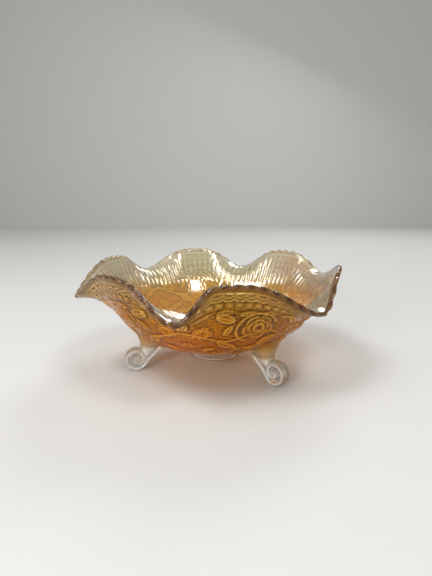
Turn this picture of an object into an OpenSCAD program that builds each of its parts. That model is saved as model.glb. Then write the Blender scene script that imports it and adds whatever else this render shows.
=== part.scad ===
// Three-footed pressed glass bowl with a hand-crimped rim of six ruffles.
// +Z is up, z = 0 is the table, and the origin is the middle of the bowl's footprint.
// -Y is the front, so azimuth -90 faces forwards and azimuth 0 is the right-hand side.

/* [Bowl] */
// Radius of the round cup where the ruffles start
cup_r = 72; // [68:1:76]
// Height of that edge above the table
cup_z = 39; // [37:1:42]
// Steepness of the wall at that edge, in degrees
cup_slope = 46; // [42:1:50]
// Steepness of the lower wall just outside the base ring, in degrees
low_slope = 21; // [18:1:22]
// Glass thickness of the cup
wall = 4.5; // [3.5:0.5:5.5]

/* [Ruffles] */
// Radius of a ruffle's peak at the rim
peak_r = 101; // [98:1:104]
// Height of a ruffle's peak at the rim
peak_z = 86; // [80:1:90]
// Radius of a valley between two ruffles at the rim
valley_r = 105; // [102:1:108]
// Height of a valley between two ruffles at the rim
valley_z = 66; // [60:1:70]
// How broad the peaks are against the valleys, where 1 is even
breadth = 1.7; // [1:0.1:2.2]
// Glass thickness at the lip
lip = 3.5; // [2.5:0.5:4.5]

/* [Base ring] */
// Outer radius of the ring under the bowl
ring_r = 22.5; // [20:0.5:25]
// Height of the ring's lower edge above the table
ring_z = 8; // [6:0.5:9]
// Height of the ring
ring_h = 6; // [5:0.5:7]
// Thickness of the ring's wall
ring_wall = 4.5; // [3.5:0.5:6]

/* [Feet] */
// Distance from the bowl's axis to the middle of a foot's curl
curl_r = 68.5; // [66:0.5:70]
// Radius of the curl
curl_size = 9.2; // [8:0.1:10]
// Width of the curl
curl_w = 9.5; // [8:0.5:12]
// Width of the knee where it joins the wall
knee_w = 21; // [18:1:24]
// Depth of the groove that makes the curl's spiral
groove = 1.4; // [0.8:0.1:2]
// How much is ground off under the curl, where it rests
flat = 0.2; // [0.1:0.05:0.4]

/* [Hidden] */
$fn = 96;

// The bowl's axis, a little off the footprint's middle because the rim was crimped by hand
AXIS = [3, 1];
FOOT_AZIMUTHS = [195, 315, 75];
AMBER = [0.80, 0.47, 0.12, 0.55];
CHAMPAGNE = [0.90, 0.80, 0.60, 0.45];
CLEAR = [0.90, 0.93, 0.92, 0.40];

// Hand-made crimps, in turn a valley and a peak:
// [azimuth, radius beyond the usual, height beyond the usual]
CRIMPS = [
    [-166, 7, -2], [-135, 1, 1], [-103, 1, -4], [-85, -2, 0],
    [-45, 1, -4], [-18, 3, 0], [19, 0, 4], [44, 1, 1],
    [74, 0, 0], [102, -1, 0], [132, 0, 1], [160, 1, 0]
];
START = CRIMPS[0][0];
VALLEY_LEAN = -10;
PEAK_LEAN = 68;
START_PULL = 0.36;
LIP_PULL = 0.42;
TURN_STEPS = 180;
WALL_STEPS = 11;
LIP_STEPS = 4;
ARC_STEPS = 8;

base_z = ring_z + ring_h;

// ---- cup profile: a flat disc, a straight cone, then an arc up to the edge ----
arc_turn = cup_slope - low_slope;
cone_run = (cup_z - base_z - (cup_r - ring_r) * tan((cup_slope + low_slope) / 2))
         / (sin(low_slope) - cos(low_slope) * tan((cup_slope + low_slope) / 2));
arc_start = [ring_r + cone_run * cos(low_slope), base_z + cone_run * sin(low_slope)];
arc_radius = (cup_r - arc_start[0]) / (sin(cup_slope) - sin(low_slope));
function steep(k) = low_slope + arc_turn * k / ARC_STEPS;
function cup_outer(k) = arc_start + arc_radius
    * [sin(steep(k)) - sin(low_slope), cos(low_slope) - cos(steep(k))];
function cup_inner(k) = cup_outer(k) + wall * [-sin(steep(k)), cos(steep(k))];

module cup_section() {
    inner_flat = ring_r - wall * tan(low_slope / 2);
    polygon(concat(
        [[0, base_z], [ring_r, base_z]],
        [for (k = [0:ARC_STEPS]) cup_outer(k)],
        [for (k = [ARC_STEPS:-1:0]) cup_inner(k)],
        [[inner_flat, base_z + wall], [0, base_z + wall]]
    ));
}

// Everything on the wall's inner side, used to trim the feet to the wall
module above_cup_section() {
    tip = cup_outer(ARC_STEPS);
    polygon(concat(
        [[0, base_z], [ring_r, base_z]],
        [for (k = [0:ARC_STEPS]) cup_outer(k)],
        [[tip[0] + 20, tip[1] + 20 * tan(cup_slope)], [0, tip[1] + 20 * tan(cup_slope)]]
    ));
}

// ---- ruffled wall: one cubic curve in each meridian, from the cup's edge to the crimped lip ----
function unit(v) = v / norm(v);
function wrap(a) = a < START ? a + 360 : a >= START + 360 ? a - 360 : a;
function crimp(i) = CRIMPS[i % len(CRIMPS)];
function is_peak(i) = i % 2 == 1;
function rim_point(i) = is_peak(i)
    ? [peak_r + crimp(i)[1], peak_z + crimp(i)[2], PEAK_LEAN]
    : [valley_r + crimp(i)[1], valley_z + crimp(i)[2], VALLEY_LEAN];
function crimp_azimuth(i) = i < len(CRIMPS) ? CRIMPS[i][0] : START + 360;
function rise(s) = 1 - pow(cos(90 * s), 2 * breadth);
function rim_at(azimuth) = let (
        a = wrap(azimuth),
        i = max([for (k = [0:len(CRIMPS) - 1]) if (crimp_azimuth(k) <= a) k]),
        s = (a - crimp_azimuth(i)) / (crimp_azimuth(i + 1) - crimp_azimuth(i)),
        low = is_peak(i) ? rim_point(i + 1) : rim_point(i),
        high = is_peak(i) ? rim_point(i) : rim_point(i + 1)
    ) low + (high - low) * rise(is_peak(i) ? 1 - s : s);

// Control points of the meridian at one azimuth, as [radius, height]
function meridian(azimuth) = let (
        r = rim_at(azimuth),
        p0 = [cup_r, cup_z],
        p3 = [r[0], r[1]],
        reach = norm(p3 - p0)
    ) [
        p0,
        p0 + START_PULL * reach * [cos(cup_slope), sin(cup_slope)],
        p3 - LIP_PULL * reach * [cos(r[2]), sin(r[2])],
        p3
    ];
function bezier(m, t) = pow(1 - t, 3) * m[0] + 3 * pow(1 - t, 2) * t * m[1]
    + 3 * (1 - t) * t * t * m[2] + pow(t, 3) * m[3];
function bezier_run(m, t) = pow(1 - t, 2) * (m[1] - m[0]) + 2 * (1 - t) * t * (m[2] - m[1])
    + t * t * (m[3] - m[2]);
function place(azimuth, rz) = [rz[0] * cos(azimuth), rz[0] * sin(azimuth), rz[1]];

// Frame of the wall at one point: [point, direction towards the lip, direction into the bowl]
function wall_frame(azimuth, t) = let (
        m = meridian(azimuth),
        point = place(azimuth, bezier(m, t)),
        along = unit(place(azimuth, bezier_run(m, t))),
        ahead = place(azimuth + 1, bezier(meridian(azimuth + 1), t)),
        behind = place(azimuth - 1, bezier(meridian(azimuth - 1), t))
    ) [point, along, unit(cross(along, ahead - behind))];

// One closed loop round the glass at an azimuth: up the outside, over the lip, down the inside
function rim_loop(azimuth) = let (
        frames = [for (k = [0:WALL_STEPS]) wall_frame(azimuth, k / WALL_STEPS)],
        last = frames[WALL_STEPS],
        lip_middle = last[0] + last[2] * lip / 2,
        lip_out = unit(last[1] - last[2] * (last[1] * last[2]))
    ) concat(
        [for (f = frames) f[0]],
        [for (k = [1:LIP_STEPS - 1]) let (turn = 180 * k / LIP_STEPS)
            lip_middle + lip / 2 * (sin(turn) * lip_out - cos(turn) * last[2])],
        [for (k = [WALL_STEPS:-1:0]) let (t = k / WALL_STEPS)
            frames[k][0] + frames[k][2] * (wall + (lip - wall) * t)]
    );

module foot(azimuth) {
    translate([AXIS[0], AXIS[1], 0]) rotate([0, 0, azimuth]) difference() {
        intersection() {
            foot_side();
            foot_front();
        }
        rotate_extrude() above_cup_section();
        for (side = [0, 1]) mirror([0, side, 0]) curl_groove();
    }
}

// Side view of a foot: the round curl, and the strap with the knee that meets the wall
module foot_side() {
    curl_z = curl_size - flat;
    difference() {
        rotate([90, 0, 0]) union() {
            translate([curl_r, curl_z, -knee_w / 2]) cylinder(r = curl_size, h = knee_w);
            linear_extrude(knee_w, center = true) polygon([
                [curl_r - curl_size + 1.5, curl_z - 2], [48, 18], [44, 20], [44, 40], [66.5, 40],
                [66.5, 26], [65, 20], [curl_r + 4, curl_z + 8], [curl_r, curl_z]
            ]);
        }
        translate([0, -knee_w, -20]) cube([100, 2 * knee_w, 20]);
    }
}

// Front view of a foot: narrow at the curl and spreading to the knee
module foot_front() {
    half = curl_w / 2;
    spread = knee_w / 2;
    rotate([90, 0, 90]) linear_extrude(100) polygon([
        [-half, 0], [half, 0], [half, 15], [spread, 27], [spread, 45],
        [-spread, 45], [-spread, 27], [-half, 15]
    ]);
}

// Ring-shaped groove in one side of the curl, round its raised eye
module curl_groove() {
    translate([curl_r, curl_w / 2 + 1, curl_size - flat]) rotate([90, 0, 0]) difference() {
        cylinder(r = curl_size - 2.2, h = groove + 1);
        translate([0, 0, -1]) cylinder(r = 2.6, h = groove + 3);
    }
}

module bowl_body() {
    color(AMBER) translate([AXIS[0], AXIS[1], 0]) rotate_extrude() cup_section();
}

module ruffled_rim() {
    loops = [for (j = [0:TURN_STEPS - 1]) rim_loop(START + 360 * j / TURN_STEPS)];
    size = len(loops[0]);
    points = [for (loop = loops, p = loop) p];
    faces = [
        for (j = [0:TURN_STEPS - 1], k = [0:size - 1]) let (
            here = j * size,
            next = ((j + 1) % TURN_STEPS) * size,
            up = (k + 1) % size
        ) each [[here + k, next + k, here + up], [here + up, next + k, next + up]]
    ];
    color(CHAMPAGNE) translate([AXIS[0], AXIS[1], 0]) polyhedron(points, faces);
}

module base_ring() {
    edge = 1.5;
    color(CLEAR) translate([AXIS[0], AXIS[1], 0]) rotate_extrude() polygon([
        [ring_r - ring_wall, ring_z + edge], [ring_r - ring_wall + edge, ring_z],
        [ring_r - edge, ring_z], [ring_r, ring_z + edge],
        [ring_r, base_z], [ring_r - ring_wall, base_z]
    ]);
}

module foot_left() {
    color(CLEAR) foot(FOOT_AZIMUTHS[0]);
}

module foot_right() {
    color(CLEAR) foot(FOOT_AZIMUTHS[1]);
}

module foot_rear() {
    color(CLEAR) foot(FOOT_AZIMUTHS[2]);
}

bowl_body();
ruffled_rim();
base_ring();
foot_left();
foot_right();
foot_rear();
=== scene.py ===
import math
import bpy
import numpy as np
from mathutils import Matrix, Vector


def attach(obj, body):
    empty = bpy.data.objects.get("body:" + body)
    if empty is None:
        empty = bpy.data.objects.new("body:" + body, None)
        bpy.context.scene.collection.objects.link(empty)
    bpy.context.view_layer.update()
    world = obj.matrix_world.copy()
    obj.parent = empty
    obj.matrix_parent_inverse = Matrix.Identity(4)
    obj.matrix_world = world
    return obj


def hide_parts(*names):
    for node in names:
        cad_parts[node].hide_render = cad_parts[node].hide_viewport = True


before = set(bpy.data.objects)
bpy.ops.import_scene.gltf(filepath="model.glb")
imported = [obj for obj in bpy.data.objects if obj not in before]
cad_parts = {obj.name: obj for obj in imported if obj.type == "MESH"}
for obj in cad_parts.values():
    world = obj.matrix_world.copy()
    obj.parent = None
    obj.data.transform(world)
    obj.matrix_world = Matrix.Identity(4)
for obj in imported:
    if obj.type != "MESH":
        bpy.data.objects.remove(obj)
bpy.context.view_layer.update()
MM = 0.001

# ---------------------------------------------------------------- the bowl's own sizes, in mm
# the bowl's axis stands a little off the middle of its box, as the crimps are uneven
AXIS = (3.0, 1.0)
RING_R, RING_Z, RING_H, RING_WALL = 22.5, 8.0, 6.0, 4.5
BASE_Z = RING_Z + RING_H
CUP_R, CUP_Z = 72.0, 39.0
CUP_SLOPE, LOW_SLOPE = math.radians(46), math.radians(21)
WALL, LIP = 4.5, 3.5
# the lip at an even peak and an even valley: radius, height, and lean above the level in degrees
PEAK_R, PEAK_Z, PEAK_LEAN = 101.0, 86.0, 68.0
VALLEY_R, VALLEY_Z, VALLEY_LEAN = 105.0, 66.0, -10.0
# over 1, the peaks are broader than the valleys
BREADTH = 1.7
# how stiffly the wall leaves the cup and reaches the lip
START_PULL, LIP_PULL = 0.36, 0.42
# hand-made crimps, in turn a valley and a peak: azimuth, extra radius, extra height
CRIMPS = [
    (-166, 7, -2), (-135, 1, 1), (-103, 1, -4), (-85, -2, 0),
    (-45, 1, -4), (-18, 3, 0), (19, 0, 4), (44, 1, 1),
    (74, 0, 0), (102, -1, 0), (132, 0, 1), (160, 1, 0),
]
FOOT_AZIMUTHS = {"foot_left": 195, "foot_right": 315, "foot_rear": 75}
# the rolled toe: distance from the axis, radius, width, and how far its underside is flattened
CURL_R, CURL_SIZE, CURL_W, FLAT = 68.5, 9.2, 9.5, 0.2
CURL_Z = CURL_SIZE - FLAT
# how far the collar ring and the legs are let into the bowl's wall
SUNK, SEAT = 0.8, 0.5
# grain at which a foot's parts are melted together
MELT = 0.42
# the leg, level by level: height, nearest and farthest radius, width
STRAP_LEVELS = [
    (5.5, 61.8, 71.0, 7.5), (9.0, 58.2, 72.0, 8.2), (12.5, 54.4, 71.0, 8.8), (16.0, 50.4, 68.0, 10.5),
    (19.0, 46.8, 65.6, 13.5), (22.0, 44.0, 65.8, 18.0), (25.5, 42.5, 66.6, 22.5), (30.0, 42.0, 68.5, 26.0),
    (35.0, 43.0, 71.5, 28.0), (41.0, 45.0, 74.0, 28.0),
]

# ---------------------------------------------------------------- moulded pattern, in mm
RELIEF = 1.7
RIBS, RIB_DEPTH = 108, 0.5
SCALLOPS, SCALLOP_DEPTH, TWIST = 72, 0.9, 3.5
# the border rows, up from the cup's edge: a line, beads, two rows of lapped scales, a line
LINE_LOW, BEADS, SCALES_LOW, SCALES_HIGH, LINE_HIGH = 37.9, 40.2, 44.2, 46.4, 48.2
# one third of the pattern: degrees from its middle and height above the cup's edge, then the shape
ROSE, ROSE_SIZE = (36, 21), 12.0
ARCH, ARCH_SIZE = (36, 20), 16.0
FLOWERS = [
    ((9, 17), 7.2, 5), ((0, 0), 4.6, 6), ((27, -6), 4.2, 6),
    ((57, 15), 5.2, 5), ((50, -9), 3.8, 6), ((14, -13), 3.8, 6),
]
# place, length, width, tilt in degrees and bend of each leaf
LEAVES = [
    ((46, 5), 21, 9, 30, 1.5), ((22, 3), 18, 8, -32, -1.2), ((53, 29), 17, 7, -62, 1.0),
    ((11, -6), 13, 5.5, 20, 0.8), ((38, -3), 15, 6, 8, -1.0), ((22, 19), 13, 5.5, 62, 0.8),
    ((2, 29), 15, 5.5, 74, 0.0), ((59, -2), 14, 5.5, 88, 0.0), ((33, -16), 13, 5, 30, 0.8),
]
# azimuth of the front side, where painted shade darkens the lip; the ruffles on the far side are painted
# paler
PAINTED_SHADE_SIDE = -85.0
# the skin: columns round the bowl, and the length of wall from the cup's edge to the lip
COLUMNS = 648
WALL_RUN = 50.0

# ---------------------------------------------------------------- camera and studio, in metres
LENS, SENSOR = 27.06, 36
EYE, EYE_TILT = (0.0043, -0.3627, 0.1433), 78
PAPER, PAPER_FRONT, PAPER_DROP, WALL_AT, WALL_TALL = 6, -1.3, -0.0003, 1.6, 3
PAPER_GREY = (0.62, 0.62, 0.61, 1)
ROOM_LIGHT, ROOM_STRENGTH = (0.86, 0.84, 0.81, 1), 0.42
AIM_HEIGHT = 0.04
# place, width and power of each round lamp
LAMPS = {
    "key": ((-0.9, -0.3, 1.5), 0.9, 6),
    "overhead right": ((0.38, -0.42, 1.08), 0.38, 3.6),
    "overhead left": ((-0.50, -0.40, 1.1), 0.40, 5),
    "front": ((-0.55, -1.0, 0.45), 0.32, 5.5),
    "back": ((0.5, 1.2, 1.2), 0.7, 9),
}


def camera():
    data = bpy.data.cameras.new("camera")
    data.lens = LENS
    data.sensor_width = SENSOR
    eye = bpy.data.objects.new("camera", data)
    eye.location = EYE
    eye.rotation_euler = (math.radians(EYE_TILT), 0, 0)
    bpy.context.scene.collection.objects.link(eye)
    bpy.context.scene.camera = eye


def fresh(add, **sizes):
    """Adds a primitive with nothing else selected and returns it."""
    if bpy.context.object and bpy.context.object.mode != "OBJECT":
        bpy.ops.object.mode_set(mode="OBJECT")
    bpy.ops.object.select_all(action="DESELECT")
    add(**sizes)
    return bpy.context.object


def edit_all():
    """Goes into edit mode with the whole mesh selected."""
    bpy.ops.object.mode_set(mode="EDIT")
    bpy.ops.mesh.select_all(action="SELECT")


def closed(weld=False):
    """Closes the seams if asked, points the faces outwards and leaves the piece smooth."""
    edit_all()
    if weld:
        bpy.ops.mesh.remove_doubles(threshold=0.00001)
    bpy.ops.mesh.normals_make_consistent(inside=False)
    bpy.ops.object.mode_set(mode="OBJECT")
    bpy.ops.object.shade_smooth()


# ================================================================ the ruffled glass wall
def cup_profile():
    """Corner points of the cup's straight cone and the arc that follows it."""
    t = math.tan((CUP_SLOPE + LOW_SLOPE) / 2)
    run = (CUP_Z - BASE_Z - (CUP_R - RING_R) * t) / (math.sin(LOW_SLOPE) - math.cos(LOW_SLOPE) * t)
    start = (RING_R + run * math.cos(LOW_SLOPE), BASE_Z + run * math.sin(LOW_SLOPE))
    radius = (CUP_R - start[0]) / (math.sin(CUP_SLOPE) - math.sin(LOW_SLOPE))
    return run, start, radius


CONE_RUN, ARC_START, ARC_RADIUS = cup_profile()
ARC_RUN = ARC_RADIUS * (CUP_SLOPE - LOW_SLOPE)
CUP_RUN = RING_R + CONE_RUN + ARC_RUN
FULL_RUN = CUP_RUN + WALL_RUN


def rim_at(azimuth):
    """Radius, height and lean of the lip at each azimuth, in degrees."""
    turns = np.array([c[0] for c in CRIMPS] + [CRIMPS[0][0] + 360.0])
    points = []
    for number, (_, extra_r, extra_z) in enumerate(CRIMPS):
        if number % 2:
            points.append((PEAK_R + extra_r, PEAK_Z + extra_z, PEAK_LEAN))
        else:
            points.append((VALLEY_R + extra_r, VALLEY_Z + extra_z, VALLEY_LEAN))
    points = np.array(points + points[:1])
    a = (azimuth - turns[0]) % 360 + turns[0]
    i = np.clip(np.searchsorted(turns, a, side="right") - 1, 0, len(CRIMPS) - 1)
    s = (a - turns[i]) / (turns[i + 1] - turns[i])
    from_peak = i % 2 == 1
    s = np.where(from_peak, 1 - s, s)
    low = np.where(from_peak[..., None], points[i + 1], points[i])
    high = np.where(from_peak[..., None], points[i], points[i + 1])
    rise = 1 - np.cos(np.pi / 2 * s) ** (2 * BREADTH)
    return low + (high - low) * rise[..., None]


def meridian(azimuth, s):
    """Radius and height of the outside of the glass, s mm along it from the middle of the bottom."""
    rim = rim_at(azimuth)
    t = np.clip((s - CUP_RUN) / WALL_RUN, 0, 1)
    p0 = np.array([CUP_R, CUP_Z])
    p3 = rim[..., :2]
    reach = np.linalg.norm(p3 - p0, axis=-1, keepdims=True)
    lean = np.radians(rim[..., 2])
    p1 = p0 + START_PULL * reach * np.array([math.cos(CUP_SLOPE), math.sin(CUP_SLOPE)])
    p2 = p3 - LIP_PULL * reach * np.stack([np.cos(lean), np.sin(lean)], -1)
    w = t[..., None]
    wall = (1 - w) ** 3 * p0 + 3 * (1 - w) ** 2 * w * p1 + 3 * (1 - w) * w * w * p2 + w ** 3 * p3
    on_cone = np.clip(s - RING_R, 0, CONE_RUN)
    steep = LOW_SLOPE + np.clip(s - RING_R - CONE_RUN, 0, ARC_RUN) / ARC_RADIUS
    cup_r = np.minimum(s, RING_R) + on_cone * math.cos(LOW_SLOPE)
    cup_z = BASE_Z + on_cone * math.sin(LOW_SLOPE)
    cup_r = cup_r + ARC_RADIUS * (np.sin(steep) - math.sin(LOW_SLOPE))
    cup_z = cup_z + ARC_RADIUS * (math.cos(LOW_SLOPE) - np.cos(steep))
    past_cup = s > CUP_RUN
    return np.where(past_cup, wall[..., 0], cup_r), np.where(past_cup, wall[..., 1], cup_z)


def outside(azimuth, s):
    """Point on the outside of the smooth glass, round the bowl's own axis."""
    r, z = meridian(azimuth, s)
    turn = np.radians(azimuth)
    return np.stack([r * np.cos(turn), r * np.sin(turn), z], -1)


def unit(v):
    return v / np.maximum(np.linalg.norm(v, axis=-1, keepdims=True), 1e-9)


def wall_frame(azimuth, s):
    """Point on the outside, direction towards the lip, and direction into the bowl."""
    point = outside(azimuth, s)
    along = unit(outside(azimuth, np.minimum(s + 0.4, FULL_RUN))
                 - outside(azimuth, np.maximum(s - 0.4, 0.05)))
    round_about = outside(azimuth + 0.25, s) - outside(azimuth - 0.25, s)
    inwards = unit(np.cross(along, round_about))
    inwards[s < 0.2] = (0, 0, 1)
    return point, along, inwards


def thickness(s):
    """Glass thickness, thinner towards the lip."""
    return WALL + (LIP - WALL) * np.clip((s - CUP_RUN) / WALL_RUN, 0, 1)


# ================================================================ the moulded relief
def ease(low, high, value):
    """0 below low, 1 above high, with a soft start and end."""
    t = np.clip((value - low) / (high - low), 0, 1)
    return t * t * (3 - 2 * t)


def band(value, low, high, soft):
    """1 between low and high, falling to 0 over soft on both sides."""
    return ease(low - soft, low, value) * (1 - ease(high, high + soft, value))


def turned(x, y, degrees):
    """The same place along and across a shape that is tilted by some degrees."""
    c, s = math.cos(math.radians(degrees)), math.sin(math.radians(degrees))
    return x * c + y * s, y * c - x * s


def blossom(x, y, radius, petals, layers=3):
    """Open rose: layers of curled petals, each with a raised edge, round a hollow eye."""
    far = np.hypot(x, y)
    angle = np.arctan2(y, x)
    height = np.zeros_like(far)
    for layer in range(layers):
        size = radius * (1 - 0.30 * layer)
        petal = petals * angle / 2 + layer * math.pi / 2 + 0.6 * far / radius
        round_edge = np.abs(np.cos(petal))
        edge = size * (0.76 + 0.24 * np.sqrt(round_edge))
        curl = 0.42 * np.exp(-(((edge - far) / (0.085 * radius)) ** 2))
        crease = 0.22 * np.exp(-((round_edge / 0.22) ** 2)) * ease(0, 0.5 * size, far)
        face = 0.40 + 0.10 * layer + curl - crease - 0.10 * ease(0, 1, far / size)
        inside = 1 - ease(edge * 0.96, edge * 1.03, far)
        height = height * (1 - inside) + face * inside
    return height * (1 - 0.85 * np.exp(-((far / (0.15 * radius)) ** 2)))


def leaf_shape(x, y, length, width, degrees, bend=0.0):
    """Pointed leaf with a sunk midrib and slanting side veins."""
    a, b = turned(x, y, degrees)
    along = a / length + 0.5
    inside = np.clip(along, 0, 1)
    b = b - bend * np.sin(np.pi * inside)
    half = 0.5 * width * np.sin(np.pi * inside ** 0.8) ** 0.9 + 1e-6
    across = np.abs(b) / half
    body = np.sqrt(np.clip(1 - across ** 2, 0, 1)) * (along > 0) * (along < 1)
    veins = 0.5 + 0.5 * np.cos(2 * np.pi * (a - 1.1 * np.abs(b)) / 2.9)
    midrib = np.exp(-((b / 0.55) ** 2))
    return body * (0.62 + 0.26 * veins - 0.45 * midrib)


def bud(x, y, length, width, degrees):
    """Oval bud with a raised rim and a seam down its middle."""
    a, b = turned(x, y, degrees)
    far = np.sqrt((2 * a / length) ** 2 + (2 * b / width) ** 2)
    shell = (1 - ease(0.90, 1.05, far)) * (0.42 + 0.2 * np.exp(-(((far - 0.78) / 0.12) ** 2)))
    seam = np.exp(-((b / 0.6) ** 2)) * (far < 0.65)
    return shell + 0.35 * seam


def stem(y, centre, width):
    """Round-backed line at a height."""
    return np.exp(-(((y - centre) / width) ** 2))


def pattern(azimuth, s):
    """Height of the moulded flowers, 0 to 1. It repeats three times round, each third mirrored."""
    slot = (azimuth + 105 + 60) % 120 - 60
    a = np.abs(slot)
    y = s - CUP_RUN
    mean_r = np.where(y > 0, CUP_R + 0.62 * y, np.maximum(CUP_R + 0.85 * y, 8))

    def at(azimuth_from_middle, up):
        return mean_r * np.radians(a - azimuth_from_middle), y - up

    height = blossom(*at(*ROSE), ROSE_SIZE, 5)
    x, up = at(*ARCH)
    arch = stem(np.hypot(x, 1.1 * up), ARCH_SIZE, 0.8) * (1 - ease(4, 10, x - up))
    height = np.maximum(height, 0.6 * arch)
    for where, radius, petals in FLOWERS:
        height = np.maximum(height, 0.85 * blossom(*at(*where), radius, petals, 2))
    for where, length, width, tilt, bend in LEAVES:
        height = np.maximum(height, 0.95 * leaf_shape(*at(*where), length, width, tilt, bend))
    height = np.maximum(height, bud(*at(20, 30), 14, 8, -18))
    turn = np.radians(a)
    height = np.maximum(height, 0.62 * stem(y, 12 + 5.5 * np.cos(9 * turn), 0.9))
    height = np.maximum(height, 0.55 * stem(y, -11 + 3.0 * np.cos(12 * turn), 0.8))
    garland = mean_r * np.radians((a + 5) % 10 - 5)
    lying = leaf_shape(garland, y - 34 - 0.8 * np.cos(18 * turn), 14.5, 4.6, 8, 0.5)
    return np.maximum(height, 0.8 * lying)


def stipple(azimuth, s):
    """Staggered dots on the ground between the flowers, in rows that sway round the bowl."""
    turn = np.radians(azimuth)
    y = s - CUP_RUN
    sway = y + 1.3 * np.sin(9 * turn) + 0.5 * np.sin(23 * turn + 1)
    row = np.cos(2 * np.pi * sway / 3.1)
    return 0.5 + 0.3 * row + 0.2 * row * np.cos(135 * turn)


def outer_relief(azimuth, s):
    """Everything moulded on the outside, from the rosette underneath to the border by the lip."""
    y = s - CUP_RUN
    flowers = pattern(azimuth, s)
    field = band(y, -22, 37, 2)
    lines = 0.17 * stipple(azimuth, s) * (1 - ease(0.05, 0.3, flowers))
    turn = np.radians(azimuth)
    beads = np.sqrt(np.clip(1 - (np.abs(y - BEADS) / 1.4) ** 2, 0, 1)) * np.abs(np.cos(45 * turn)) ** 0.6
    scales = 1.5 * np.abs(np.cos(40.5 * turn))
    lapped = stem(y, SCALES_LOW - scales, 0.55) + 0.8 * stem(y, SCALES_HIGH - scales, 0.55)
    border = 0.50 * stem(y, LINE_LOW, 0.6) + 0.75 * beads + 0.75 * lapped + 0.5 * stem(y, LINE_HIGH, 0.5)
    skirt = 0.30 * (0.5 + 0.5 * np.cos(36 * turn)) * band(y, -36, -27, 3)
    rings = 0.35 * stem(y, -25, 0.8)
    inside_ring = RING_R - RING_WALL
    rosette = 0.9 * blossom(s * np.cos(turn), s * np.sin(turn), inside_ring - 0.5, 8) * (s < inside_ring)
    return RELIEF * (flowers * field + lines * field) + border + skirt + rings + rosette


def inner_relief(azimuth, s):
    """Ribs on the inside of the ruffles and faint flowers in the cup."""
    y = s - CUP_RUN
    ribs = 2 * np.abs(np.cos(RIBS / 2 * np.radians(azimuth))) - 1.3
    strength = RIB_DEPTH * band(y, 23, 38, 4) + 0.12 * band(y, 40, 49, 2)
    flowers = 0.45 * pattern(azimuth + 30, s + 2) * band(y, -24, 19, 3)
    return ribs * strength + flowers


def scallop(azimuth):
    """Rounded bumps round the lip with sharp dips between them, -1 to 1."""
    return 2 * np.abs(np.cos(SCALLOPS / 2 * np.radians(azimuth))) - 1.2


def stations(stops):
    """Distances along the glass: pairs of (up to, number of steps)."""
    out, start = [], 0.0
    for end, steps in stops:
        out += [start + (end - start) * k / steps for k in range(steps)]
        start = end
    return out + [start]


def glass_rows(azimuth):
    """Every row of the closed skin, from the middle underneath, over the lip, to the middle inside."""
    rows, way, height, inner = [], [], [], []

    def add(points, s, relief, is_inner=0.0):
        rows.append(points)
        way.append(np.full(azimuth.shape, max(0.0, (s - CUP_RUN) / WALL_RUN)))
        height.append(relief)
        inner.append(np.full(azimuth.shape, is_inner))

    under = stations([(RING_R, 13), (RING_R + CONE_RUN, 16), (CUP_RUN, 15), (FULL_RUN - 1.0, 50)])
    for s in under + [FULL_RUN]:
        where = np.full(azimuth.shape, s)
        point, _, inwards = wall_frame(azimuth, where)
        relief = outer_relief(azimuth, where) * (1 - ease(FULL_RUN - 2.5, FULL_RUN, s))
        add(point - inwards * relief[..., None], s, relief)
    where = np.full(azimuth.shape, FULL_RUN)
    point, along, inwards = wall_frame(azimuth, where)
    lip_out = unit(along - inwards * np.sum(along * inwards, -1, keepdims=True))
    middle = point + inwards * LIP / 2
    for k in range(1, 8):
        turn = math.pi * k / 8
        twisted = scallop(azimuth + TWIST * (k - 4) / 8)
        bump = (SCALLOP_DEPTH * twisted)[..., None]
        out = lip_out * (LIP / 2 + bump) * math.sin(turn) ** 0.8
        add(middle + out - inwards * LIP / 2 * math.cos(turn), FULL_RUN, 0.5 * twisted, k / 8)
    over = stations([(RING_R, 3), (RING_R + CONE_RUN, 8), (CUP_RUN, 8), (FULL_RUN - 1.0, 27)])
    for s in reversed(over + [FULL_RUN]):
        where = np.full(azimuth.shape, s)
        point, _, inwards = wall_frame(azimuth, where)
        relief = inner_relief(azimuth, where) * (1 - ease(FULL_RUN - 2.5, FULL_RUN, s))
        deep = thickness(where) + relief
        add(point + inwards * deep[..., None], s, relief, 1.0)
    return np.array(rows), np.array(way), np.array(height), np.array(inner)


def creases(height):
    """Relief against its own surroundings, in mm: above 0 on a ridge, below 0 in a groove."""
    ring = height[:, :-1]
    wide = ring.copy()
    for _ in range(5):
        wide = (wide + np.roll(wide, 1, 1) + np.roll(wide, -1, 1)) / 3
        wide[1:-1] = (wide[:-2] + wide[1:-1] + wide[2:]) / 3
    detail = ring - wide
    return np.hstack([detail, detail[:, :1]])


def points_of(mesh):
    """Every point of the mesh as rows of x, y, z."""
    places = np.empty(len(mesh.vertices) * 3)
    mesh.vertices.foreach_get("co", places)
    return places.reshape(-1, 3)


def share_faces(mesh):
    """Gives the outside, the rolled lip and the lining a material slot each."""
    inner = np.empty(len(mesh.vertices))
    mesh.attributes["inner"].data.foreach_get("value", inner)
    corners = np.empty(len(mesh.loops), int)
    mesh.loops.foreach_get("vertex_index", corners)
    starts = np.empty(len(mesh.polygons), int)
    mesh.polygons.foreach_get("loop_start", starts)
    low = np.minimum.reduceat(inner[corners], starts)
    high = np.maximum.reduceat(inner[corners], starts)
    slots = np.where(high <= 0, 0, np.where(low >= 1, 2, 1))
    mesh.polygons.foreach_set("material_index", slots)


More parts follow.
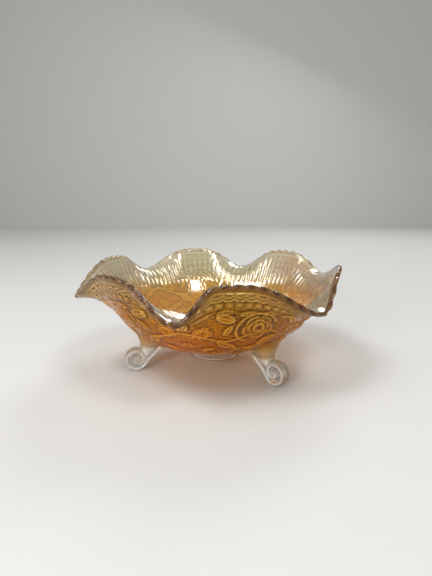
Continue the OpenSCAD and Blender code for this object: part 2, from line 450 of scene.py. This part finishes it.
def bowl_glass():
    """One sheet rolled round the axis into the whole closed skin of the bowl and its ruffled rim."""
    azimuth = np.linspace(0, 360, COLUMNS + 1)
    rows, way, height, inner = glass_rows(azimuth)
    sheet = fresh(bpy.ops.mesh.primitive_grid_add, x_subdivisions=COLUMNS,
                  y_subdivisions=len(rows) - 1, size=1)
    sheet.name = "bowl_glass"
    mesh = sheet.data
    flat = points_of(mesh)
    column = np.rint((flat[:, 0] + 0.5) * COLUMNS).astype(int)
    row = np.rint((flat[:, 1] + 0.5) * (len(rows) - 1)).astype(int)
    column[column == COLUMNS] = 0
    placed = (rows[row, column] + np.array([AXIS[0], AXIS[1], 0])) * MM
    mesh.vertices.foreach_set("co", placed.ravel())
    # 1 on the front side, 0 at the back: weights the painted shade on the front and the painted light on the
    #                                     far ruffles
    front_painted_shade = np.tile(0.5 + 0.5 * np.cos(np.radians(azimuth - PAINTED_SHADE_SIDE)), (len(rows), 1))
    looks = {"lip_way": way, "relief": height, "inner": inner, "crease": creases(height), "front_painted_shade": front_painted_shade}
    for name, values in looks.items():
        mesh.attributes.new(name, "FLOAT", "POINT").data.foreach_set("value", values[row, column])
    closed(weld=True)
    return sheet


# ================================================================ base ring and scroll feet
def select_where(mesh, test):
    """In edit mode, selects just the faces whose centre passes the test."""
    bpy.ops.mesh.select_mode(type="FACE")
    bpy.ops.mesh.select_all(action="DESELECT")
    bpy.ops.object.mode_set(mode="OBJECT")
    for face in mesh.polygons:
        face.select = test(face)
    bpy.ops.object.mode_set(mode="EDIT")


def apply_modifiers(piece):
    bpy.context.view_layer.objects.active = piece
    for modifier in list(piece.modifiers):
        bpy.ops.object.modifier_apply(modifier=modifier.name)


def move_mesh(piece, turn=0.0, shift=(0, 0, 0)):
    """Turns the mesh about the upright axis and shifts it, leaving the object at the origin."""
    piece.data.transform(Matrix.Translation(Vector(shift)) @ Matrix.Rotation(turn, 4, "Z"))


def foot_ring():
    """Collar ring: a rounded upright section spun round the axis, its top sunk into the bowl."""
    top = BASE_Z + SUNK
    ring = fresh(bpy.ops.mesh.primitive_plane_add, size=1)
    ring.name = "collar_ring"
    bpy.ops.object.mode_set(mode="EDIT")
    bpy.ops.transform.resize(value=(RING_WALL * MM, (top - RING_Z) * MM, 1))
    bpy.ops.mesh.bevel(offset=1.6 * MM, segments=5, affect="VERTICES")
    bpy.ops.mesh.select_all(action="SELECT")
    bpy.ops.transform.rotate(value=-math.pi / 2, orient_axis="X", center_override=(0, 0, 0))
    bpy.ops.object.mode_set(mode="OBJECT")
    move_mesh(ring, 0, ((RING_R - RING_WALL / 2) * MM, 0, (top + RING_Z) / 2 * MM))
    edit_all()
    bpy.ops.mesh.delete(type="ONLY_FACE")
    bpy.ops.mesh.select_all(action="SELECT")
    bpy.ops.mesh.spin(steps=128, angle=2 * math.pi, center=(0, 0, 0), axis=(0, 0, 1))
    bpy.ops.object.mode_set(mode="OBJECT")
    closed(weld=True)
    move_mesh(ring, 0, (AXIS[0] * MM, AXIS[1] * MM, 0))
    return ring


def rod(points, radii):
    """Round rod along the points, thinner or thicker by radius, as a mesh."""
    data = bpy.data.curves.new("rod", "CURVE")
    data.dimensions = "3D"
    data.bevel_depth = 1.0
    data.bevel_resolution = 3
    data.use_fill_caps = True
    line = data.splines.new("POLY")
    line.points.add(len(points) - 1)
    for spot, place, radius in zip(line.points, points, radii):
        spot.co = (*(c * MM for c in place), 1)
        spot.radius = radius * MM
    made = bpy.data.objects.new("rod", data)
    bpy.context.scene.collection.objects.link(made)
    bpy.ops.object.select_all(action="DESELECT")
    made.select_set(True)
    bpy.context.view_layer.objects.active = made
    bpy.ops.object.convert(target="MESH")
    return bpy.context.object


def scroll_band(side):
    """Raised band that runs down the strap, round under the curl and in to its eye."""
    path = [(46.0, 20.0), (50.0, 16.6), (54.6, 12.6), (58.9, 8.4)]
    for step in range(61):
        turn = math.radians(215 + step * 9)
        shrink = ease(0, 1, np.array((step - 18) / 42.0)).item()
        size = 8.2 - 6.4 * shrink
        path.append((CURL_R + size * math.cos(turn), CURL_Z + size * math.sin(turn)))
    points = []
    radii = []
    for k, (r, z) in enumerate(path):
        points.append((r, side * (CURL_W / 2 - 0.9 + 0.25 * min(k / 40, 1)), z))
        radii.append(1.3 - 0.4 * k / len(path))
    return rod(points, radii)


def strap():
    """The leg between the knee and the curl: one face extruded upwards and widened step by step."""
    (low, near, far, width), *levels = STRAP_LEVELS
    middle = (near + far) / 2
    piece = fresh(bpy.ops.mesh.primitive_plane_add, size=1)
    bpy.ops.object.mode_set(mode="EDIT")
    bpy.ops.transform.resize(value=((far - near) * MM, width * MM, 1))
    bpy.ops.object.mode_set(mode="OBJECT")
    move_mesh(piece, 0, (middle * MM, 0, low * MM))
    edit_all()
    for z, next_near, next_far, next_width in levels:
        next_middle = (next_near + next_far) / 2
        step = ((next_middle - middle) * MM, 0, (z - low) * MM)
        bpy.ops.mesh.extrude_region_move(TRANSFORM_OT_translate={"value": step})
        grow = ((next_far - next_near) / (far - near), next_width / width, 1)
        bpy.ops.transform.resize(value=grow, center_override=(next_middle * MM, 0, z * MM))
        low, near, far, width, middle = z, next_near, next_far, next_width, next_middle
    bpy.ops.object.mode_set(mode="OBJECT")
    close = piece.modifiers.new("soften", "SUBSURF")
    close.levels = close.render_levels = 2
    apply_modifiers(piece)
    return piece


def curl():
    """The rolled toe: a drum with a sunk ring in both sides round a raised eye."""
    piece = fresh(bpy.ops.mesh.primitive_cylinder_add, vertices=64, radius=CURL_SIZE * MM,
                  depth=CURL_W * 0.86 * MM, rotation=(math.pi / 2, 0, 0),
                  location=(CURL_R * MM, 0, CURL_Z * MM))
    bpy.ops.object.transform_apply(location=True, rotation=True, scale=True)
    bpy.ops.object.mode_set(mode="EDIT")
    select_where(piece.data, lambda face: abs(face.normal.y) > 0.9)
    for inwards, outwards in ((2.4, 0), (0.9, -1.3), (2.6, 0), (0.8, 1.6)):
        bpy.ops.mesh.inset(thickness=inwards * MM, depth=outwards * MM)
    bpy.ops.object.mode_set(mode="OBJECT")
    return piece


def scroll_foot(node, azimuth):
    """One fire-polished foot: curl, strap and bands melted together and set against the wall."""
    pieces = [strap(), curl(), scroll_band(1), scroll_band(-1)]
    bpy.ops.object.select_all(action="DESELECT")
    for piece in pieces:
        piece.select_set(True)
    bpy.context.view_layer.objects.active = pieces[0]
    bpy.ops.object.join()
    foot = bpy.context.object
    foot.name = "scroll_" + node
    edit_all()
    bpy.ops.mesh.normals_make_consistent(inside=False)
    bpy.ops.object.mode_set(mode="OBJECT")
    melt = foot.modifiers.new("melt", "REMESH")
    melt.mode = "VOXEL"
    melt.voxel_size = MELT * MM
    polish = foot.modifiers.new("polish", "SMOOTH")
    polish.iterations = 6
    polish.factor = 0.6
    apply_modifiers(foot)
    spots = points_of(foot.data) / MM
    wall = wall_height(np.hypot(spots[:, 0], spots[:, 1]))
    spots[:, 2] = np.clip(spots[:, 2], 0, wall + SEAT)
    foot.data.vertices.foreach_set("co", (spots * MM).ravel())
    # crest: the band's outer edges low on the foot, which the finish whitens as a painted highlight
    crest = ease(CURL_W / 2 - 1.0, CURL_W / 2, np.abs(spots[:, 1])) * (1 - ease(17, 21, spots[:, 2]))
    foot.data.attributes.new("crest", "FLOAT", "POINT").data.foreach_set("value", crest)
    closed()
    move_mesh(foot, math.radians(azimuth), (AXIS[0] * MM, AXIS[1] * MM, 0))
    return foot


def wall_height(r):
    """Height of the cup's outside at a distance from the axis."""
    s = np.linspace(0, CUP_RUN, 400)
    wall_r, wall_z = meridian(np.zeros(400), s)
    return np.interp(r, wall_r, wall_z)


# ================================================================ materials
def new_material(name):
    made = bpy.data.materials.new(name)
    made.use_nodes = True
    return made, made.node_tree, made.node_tree.nodes["Principled BSDF"]


def link(tree, source, target):
    tree.links.new(source, target)


def ramp(tree, value, stops):
    """Colour ladder: (place from 0 to 1, colour) steps."""
    node = tree.nodes.new("ShaderNodeValToRGB")
    ladder = node.color_ramp.elements
    while len(ladder) < len(stops):
        ladder.new(0.5)
    for step, (place, colour) in zip(ladder, stops):
        step.position = place
        step.color = (*colour, 1)
    link(tree, value, node.inputs["Fac"])
    return node.outputs["Color"]


def noise(tree, scale, detail=3.0):
    """Cloudy unevenness in the piece's own space, with scale in clouds a metre."""
    place = tree.nodes.new("ShaderNodeTexCoord")
    node = tree.nodes.new("ShaderNodeTexNoise")
    node.inputs["Scale"].default_value = scale
    node.inputs["Detail"].default_value = detail
    link(tree, place.outputs["Object"], node.inputs["Vector"])
    return node.outputs["Fac"]


def mix(tree, kind, amount, first, second):
    """Two colours, or a colour and an output, blended by a number or an output."""
    node = tree.nodes.new("ShaderNodeMix")
    node.data_type = "RGBA"
    node.blend_type = kind
    if isinstance(amount, float):
        node.inputs[0].default_value = amount
    else:
        link(tree, amount, node.inputs[0])
    for socket, value in ((node.inputs[6], first), (node.inputs[7], second)):
        if isinstance(value, tuple):
            socket.default_value = (*value, 1)
        else:
            link(tree, value, socket)
    return node.outputs[2]


def spread(tree, value, low, high):
    """0 to 1 stretched from low to high."""
    node = tree.nodes.new("ShaderNodeMapRange")
    node.inputs["To Min"].default_value = low
    node.inputs["To Max"].default_value = high
    link(tree, value, node.inputs["Value"])
    return node.outputs["Result"]


def attribute(tree, name):
    """A value kept on the piece's own points."""
    node = tree.nodes.new("ShaderNodeAttribute")
    node.attribute_name = name
    return node.outputs["Fac"]


def between(tree, value, low, high):
    """0 below low, 1 above high."""
    node = tree.nodes.new("ShaderNodeMapRange")
    node.inputs["From Min"].default_value = low
    node.inputs["From Max"].default_value = high
    link(tree, value, node.inputs["Value"])
    return node.outputs["Result"]


def product(tree, first, second):
    node = tree.nodes.new("ShaderNodeMath")
    node.operation = "MULTIPLY"
    link(tree, first, node.inputs[0])
    link(tree, second, node.inputs[1])
    return node.outputs["Value"]


def lustre(tree, coat, amount):
    """Painted iridescent sheen: rose and pale green tints laid into the coat's colour in cloudy patches."""
    lights = ramp(tree, noise(tree, 24.0, 2.0), [
        (0.36, (1.0, 0.94, 0.94)), (0.46, (1, 1, 1)), (0.54, (1, 1, 1)), (0.64, (0.95, 1.0, 0.93)),
    ])
    return mix(tree, "MULTIPLY", amount, coat, lights)


def uneven_gloss(tree, glass, scale, low, high):
    link(tree, spread(tree, noise(tree, scale), low, high), glass.inputs["Roughness"])


def sprayed(tree, coat):
    """The coat's unevenness: broad orange and olive patches under fine mottling."""
    patches = ramp(tree, noise(tree, 17.0, 1.0), [
        (0.36, (1.0, 0.74, 0.35)), (0.50, (1, 1, 1)), (0.64, (0.86, 0.98, 0.55)),
    ])
    mottle = ramp(tree, noise(tree, 60.0), [(0.35, (0.80, 0.68, 0.52)), (0.65, (1, 1, 1))])
    return mix(tree, "MULTIPLY", 0.5, mix(tree, "MULTIPLY", 0.7, coat, patches), mottle)


def lip_colour_with_painted_light(tree, relief):
    """The lip's colour: champagne, with painted shade that darkens it towards the front and in the slanting
    dips, and painted highlights on the scallop tops.
    """
    # painted shade in the slanting dips and painted highlight on the scallop tops
    bump = between(tree, relief, -0.6, 0.4)
    light = ramp(tree, bump, [
        (0.0, (0.22, 0.13, 0.05)), (0.50, (0.62, 0.48, 0.26)), (1.0, (0.90, 0.80, 0.58)),
    ])
    # painted shade: the darker lip used towards the front
    front_lip_shade = ramp(tree, bump, [
        (0.0, (0.05, 0.018, 0.002)), (0.55, (0.20, 0.09, 0.014)), (0.92, (0.34, 0.18, 0.04)),
        (1.0, (0.54, 0.36, 0.14)),
    ])
    return mix(tree, "MIX", between(tree, attribute(tree, "front_painted_shade"), 0.25, 0.85), light, front_lip_shade)


def marigold_outside():
    """Thick marigold coat over the moulded flowers: amber faces, painted gold highlights on the ridges, and
    painted shade in the grooves and on the sunk ground.
    """
    made, tree, glass = new_material("marigold_outside")
    way = attribute(tree, "lip_way")
    relief = attribute(tree, "relief")
    crease = attribute(tree, "crease")
    ridge = ramp(tree, way, [
        (0.00, (1.00, 0.48, 0.04)), (0.45, (1.00, 0.60, 0.13)), (0.75, (0.98, 0.63, 0.20)),
        (0.95, (0.98, 0.72, 0.36)),
    ])
    face = ramp(tree, way, [
        (0.00, (0.84, 0.27, 0.002)), (0.45, (0.66, 0.26, 0.003)), (0.75, (0.52, 0.26, 0.012)),
        (0.95, (0.62, 0.42, 0.14)),
    ])
    groove = ramp(tree, way, [
        (0.00, (0.34, 0.09, 0.001)), (0.45, (0.15, 0.05, 0.001)), (0.75, (0.12, 0.05, 0.002)),
        (0.95, (0.30, 0.18, 0.04)),
    ])
    # mm above or below the surroundings: painted highlight on the ridges, painted shade in the grooves
    coat = mix(tree, "MIX", between(tree, crease, 0.07, 0.36), face, ridge)
    coat = mix(tree, "MIX", between(tree, crease, -0.02, -0.20), coat, groove)
    # painted shade: the sunk ground between the flowers is darker
    sunk = ramp(tree, between(tree, relief, 0.0, 1.0), [(0.0, (0.80, 0.74, 0.66)), (1.0, (1, 1, 1))])
    coat = mix(tree, "MULTIPLY", 1.0, coat, sunk)
    # painted glow: stronger orange on both flanks of the cup, where they are seen edge-on from the front;
    # painted light makes the far ruffles paler
    front_painted_shade = attribute(tree, "front_painted_shade")
    painted_flank_glow = product(tree, between(tree, front_painted_shade, 0.95, 0.65), between(tree, way, 0.75, 0.45))
    painted_flank_glow = product(tree, painted_flank_glow, between(tree, front_painted_shade, 0.15, 0.45))
    coat = mix(tree, "MIX", spread(tree, painted_flank_glow, 0.0, 0.38), coat, (1.00, 0.34, 0.012))
    # painted light: paler, with painted sheen, on the ruffles of the far side
    far_painted_light = product(tree, between(tree, front_painted_shade, 0.75, 0.1), between(tree, way, 0.35, 0.75))
    coat = mix(tree, "MIX", far_painted_light, coat, mix(tree, "SCREEN", 0.6, coat, (0.80, 0.70, 0.48)))
    coat = lustre(tree, coat, far_painted_light)
    coat = mix(tree, "MIX", between(tree, way, 0.945, 0.975), sprayed(tree, coat), lip_colour_with_painted_light(tree, relief))
    link(tree, coat, glass.inputs["Base Color"])
    uneven_gloss(tree, glass, 140.0, 0.06, 0.16)
    glass.inputs["Transmission Weight"].default_value = 0.58
    glass.inputs["IOR"].default_value = 1.45
    glass.inputs["Specular IOR Level"].default_value = 0.32
    glass.inputs["Specular Tint"].default_value = (1.0, 0.72, 0.32, 1)
    return made


def marigold_lip():
    """Fire-polished lip, with painted shade that darkens it on the front and in the scallops' dips, and
    painted highlights on the scallop tops.
    """
    made, tree, glass = new_material("marigold_lip")
    link(tree, lip_colour_with_painted_light(tree, attribute(tree, "relief")), glass.inputs["Base Color"])
    uneven_gloss(tree, glass, 140.0, 0.04, 0.12)
    glass.inputs["Transmission Weight"].default_value = 0.80
    glass.inputs["IOR"].default_value = 1.5
    return made


def marigold_lining():
    """Thin lustre on the inside, amber in the cup and nearly clear on the ribbed ruffle."""
    made, tree, glass = new_material("marigold_lining")
    way = attribute(tree, "lip_way")
    relief = attribute(tree, "relief")
    # painted shade: darker in the grooves between the inside ribs
    groove = between(tree, attribute(tree, "crease"), -0.01, -0.16)
    lining = ramp(tree, way, [
        (0.00, (1.00, 0.62, 0.04)), (0.34, (1.00, 0.68, 0.09)), (0.50, (1.00, 0.87, 0.46)),
        (0.62, (1.00, 0.98, 0.90)), (1.00, (1.00, 0.97, 0.90)),
    ])
    lining = mix(tree, "MULTIPLY", groove, lining, (0.74, 0.64, 0.47))
    # painted iridescent sheen on the ruffles
    lining = lustre(tree, lining, between(tree, way, 0.42, 0.65))
    lining = mix(tree, "MIX", between(tree, way, 0.965, 0.99), lining, lip_colour_with_painted_light(tree, relief))
    link(tree, lining, glass.inputs["Base Color"])
    uneven_gloss(tree, glass, 140.0, 0.08, 0.17)
    # film of 60 to 115 nm, which keeps its lights a warm white
    link(tree, spread(tree, noise(tree, 30.0), 60, 115), glass.inputs["Thin Film Thickness"])
    glass.inputs["Transmission Weight"].default_value = 0.93
    glass.inputs["IOR"].default_value = 1.5
    glass.inputs["Thin Film IOR"].default_value = 1.8
    glass.inputs["Coat Weight"].default_value = 0.35
    glass.inputs["Coat IOR"].default_value = 1.6
    glass.inputs["Coat Roughness"].default_value = 0.15
    return made


def clear_glass():
    """Bare pressed glass, with a trace of the coat's overspray near the bowl."""
    made, tree, glass = new_material("clear_glass")
    place = tree.nodes.new("ShaderNodeTexCoord")
    parts = tree.nodes.new("ShaderNodeSeparateXYZ")
    link(tree, place.outputs["Object"], parts.inputs["Vector"])
    # the overspray starts 14 mm above the table
    height = between(tree, parts.outputs["Z"], 0.014, 0.032)
    tint = ramp(tree, height, [
        (0.0, (1.00, 1.00, 0.97)), (0.25, (0.99, 0.93, 0.74)), (0.55, (0.92, 0.72, 0.36)),
        (0.85, (0.84, 0.48, 0.10)), (1.0, (0.80, 0.38, 0.04)),
    ])
    crest = attribute(tree, "crest")
    # painted highlight: whiter along the raised band's crest, the rest of the foot slightly darker
    edges = ramp(tree, crest, [(0.0, (0.84, 0.83, 0.80)), (0.8, (1, 1, 1))])
    tint = mix(tree, "MULTIPLY", 1.0, tint, edges)
    link(tree, tint, glass.inputs["Base Color"])
    uneven_gloss(tree, glass, 120.0, 0.03, 0.10)
    knee = spread(tree, between(tree, parts.outputs["Z"], 0.015, 0.024), 1.0, 0.60)
    # the crest lets less light through, showing more of its whitened colour as part of the painted
    # highlight; the knee lets less through too
    through = product(tree, spread(tree, crest, 0.94, 0.70), knee)
    link(tree, through, glass.inputs["Transmission Weight"])
    glass.inputs["IOR"].default_value = 1.5
    return made


# ================================================================ studio
def studio():
    """Pale paper that runs up behind the bowl, an even room light and round soft lamps."""
    floor = fresh(bpy.ops.mesh.primitive_plane_add, size=PAPER)
    move_mesh(floor, 0, (0, PAPER_FRONT, PAPER_DROP))
    floor.name = "floor"
    bpy.ops.object.mode_set(mode="EDIT")
    bpy.ops.mesh.select_all(action="DESELECT")
    bpy.ops.object.mode_set(mode="OBJECT")
    for edge in floor.data.edges:
        edge.select = all(floor.data.vertices[v].co.y > WALL_AT for v in edge.vertices)
    bpy.ops.object.mode_set(mode="EDIT")
    bpy.ops.mesh.extrude_region_move(TRANSFORM_OT_translate={"value": (0, 0, WALL_TALL)})
    bpy.ops.object.mode_set(mode="OBJECT")
    made, _, paint = new_material("studio_paper")
    paint.inputs["Base Color"].default_value = PAPER_GREY
    paint.inputs["Roughness"].default_value = 0.85
    floor.data.materials.append(made)
    world = bpy.data.worlds.new("studio")
    world.use_nodes = True
    room = world.node_tree.nodes["Background"]
    room.inputs["Color"].default_value = ROOM_LIGHT
    room.inputs["Strength"].default_value = ROOM_STRENGTH
    bpy.context.scene.world = world
    bpy.context.scene.view_settings.view_transform = "Standard"
    for name, (place, size, power) in LAMPS.items():
        soft_light(name, place, size, power)


def soft_light(name, place, size, power):
    data = bpy.data.lights.new(name, "AREA")
    data.shape = "DISK"
    data.size = size
    data.energy = power
    lamp = bpy.data.objects.new(name, data)
    lamp.location = place
    aim = -np.array(place) + np.array([0, 0, AIM_HEIGHT])
    lamp.rotation_euler = Vector(aim).to_track_quat("-Z", "Y").to_euler()
    bpy.context.scene.collection.objects.link(lamp)


camera()
studio()
clear = clear_glass()

bowl = bowl_glass()
for finish in (marigold_outside(), marigold_lip(), marigold_lining()):
    bowl.data.materials.append(finish)
share_faces(bowl.data)
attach(bowl, "root")
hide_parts("bowl_body", "ruffled_rim")

ring = foot_ring()
ring.data.materials.append(clear)
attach(ring, "root")
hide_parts("base_ring")

for node, azimuth in FOOT_AZIMUTHS.items():
    foot = scroll_foot(node, azimuth)
    foot.data.materials.append(clear)
    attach(foot, "root")
    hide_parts(node)
